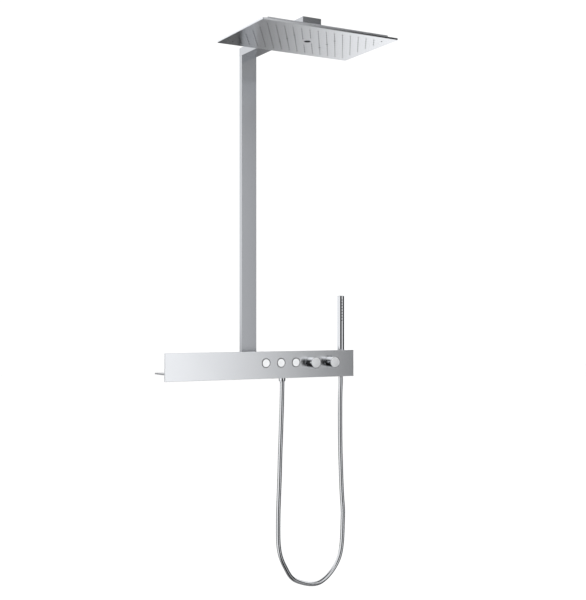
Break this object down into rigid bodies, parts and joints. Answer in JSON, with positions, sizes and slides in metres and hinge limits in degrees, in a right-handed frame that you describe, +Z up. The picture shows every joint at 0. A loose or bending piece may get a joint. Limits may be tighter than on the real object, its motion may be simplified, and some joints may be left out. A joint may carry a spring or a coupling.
{
  "type": "rainfall shower column",
  "caption": "Wall shower column: flat rain head on a square arm, long mirror control panel with push buttons and knobs, and a baton hand shower on a looped hose.",
  "frame": {"origin": "on the wall plane, on the column's centreline, at the height of the buttons, knobs and water inlets", "axes": "+X to the right seen from the room, +Y into the wall, +Z up"},
  "size_m": [0.7, 0.594, 1.828],
  "materials": {
    "mirror_chrome": "mirror polished chrome",
    "profile_chrome": "soft polished chrome",
    "head_steel": "polished steel face",
    "housing_steel": "fine satin steel",
    "baton_chrome": "polished chrome",
    "hose_metal": "smooth metal-effect sleeve",
    "knob_chrome": "polished chrome",
    "knob_face": "circular satin",
    "button_white": "satin white-grey",
    "ring_black": "matte",
    "safety_grey": "matte",
    "nozzle_rubber": "soft silicone",
    "seal_rubber": "matte",
    "jet_plastic": "matte",
    "inner_plastic": "moulded",
    "cartridge_plastic": "moulded",
    "raw_brass": "cast and machined",
    "copper_pipe": "drawn copper",
    "fixing_steel": "stainless",
    "fitting_chrome": "plated"
  },
  "bodies": {
    "wall_part": {"wall_bracket": "fixing_steel", "wall_screws": "fixing_steel", "wall_unions": "raw_brass", "rosettes": "fitting_chrome", "union_nuts": "fitting_chrome", "valve_body": "raw_brass", "valve_seals": "seal_rubber", "body_plugs": "raw_brass", "push_cartridge_1": "cartridge_plastic", "push_cartridge_2": "cartridge_plastic", "push_cartridge_3": "cartridge_plastic", "flow_cartridge": "cartridge_plastic", "temperature_cartridge": "cartridge_plastic", "button_rings": "ring_black", "button_springs": "fixing_steel", "temperature_stop_ring": "inner_plastic", "front_panel": "mirror_chrome", "panel_screws": "fixing_steel", "base_plate": "fixing_steel", "rear_casing": "ring_black", "riser_tube": "profile_chrome", "joint_sleeve": "fixing_steel", "arm_elbow": "profile_chrome", "riser_pipe": "copper_pipe", "pipe_coupling": "raw_brass", "arm_pipe": "copper_pipe", "head_carrier": "profile_chrome", "head_neck": "housing_steel", "head_housing": "housing_steel", "head_plate": "head_steel", "head_screws": "fixing_steel", "small_nozzles": "nozzle_rubber", "large_nozzles": "nozzle_rubber", "centre_jet": "jet_plastic", "jet_chamber": "inner_plastic", "head_seal": "seal_rubber", "handset_holder": "ring_black", "outlet_nipple": "raw_brass", "outlet_nut": "baton_chrome", "outlet_ferrule": "raw_brass", "hose": "hose_metal"},
    "button_1": {"button_1": "button_white"},
    "button_2": {"button_2": "button_white"},
    "button_3": {"button_3": "button_white"},
    "flow_knob": {"flow_knob": "knob_chrome", "flow_knob_cap": "knob_face", "flow_spindle": "raw_brass"},
    "temperature_knob": {"temperature_knob": "knob_chrome", "temperature_knob_cap": "knob_face", "temperature_spindle": "raw_brass", "safety_spring": "fixing_steel"},
    "safety_button": {"safety_button": "safety_grey"},
    "hose_end": {"handset_ferrule": "raw_brass"},
    "handset": {"handset_tube": "baton_chrome", "handset_cap": "baton_chrome", "handset_insert": "inner_plastic", "handset_nozzles": "nozzle_rubber", "handset_connector": "raw_brass", "handset_washer": "seal_rubber", "handset_nut": "baton_chrome"}
  },
  "joints": [
    {"name": "button_1_press", "type": "slide", "parent": "wall_part", "child": "button_1", "axis": [0, 1, 0], "range_m": [0, 0.003], "stiffness_N_per_m": 900, "springref_m": -0.002, "deforming": ["button_springs"]},
    {"name": "button_2_press", "type": "slide", "parent": "wall_part", "child": "button_2", "axis": [0, 1, 0], "range_m": [0, 0.003], "stiffness_N_per_m": 900, "springref_m": -0.002, "deforming": ["button_springs"]},
    {"name": "button_3_press", "type": "slide", "parent": "wall_part", "child": "button_3", "axis": [0, 1, 0], "range_m": [0, 0.003], "stiffness_N_per_m": 900, "springref_m": -0.002, "deforming": ["button_springs"]},
    {"name": "flow_turn", "type": "hinge", "parent": "wall_part", "child": "flow_knob", "pos_m": [0.178, -0.124, 0], "axis": [0, -1, 0], "range_deg": [0, 270]},
    {"name": "temperature_turn", "type": "hinge", "parent": "wall_part", "child": "temperature_knob", "pos_m": [0.2525, -0.124, 0], "axis": [0, -1, 0], "range_deg": [-60, 150]},
    {"name": "safety_press", "type": "slide", "parent": "temperature_knob", "child": "safety_button", "axis": [0, 0, -1], "range_m": [0, 0.002], "stiffness_N_per_m": 400, "springref_m": -0.0015, "deforming": ["safety_spring"]},
    {"name": "handset_lift", "type": "slide", "parent": "wall_part", "child": "hose_end", "axis": [0, 0, 1], "range_m": [0, 0.06]},
    {"name": "handset_turn", "type": "hinge", "parent": "hose_end", "child": "handset", "pos_m": [0.326, -0.079, -0.03], "axis": [0, 0, 1], "continuous": true}
  ]
}
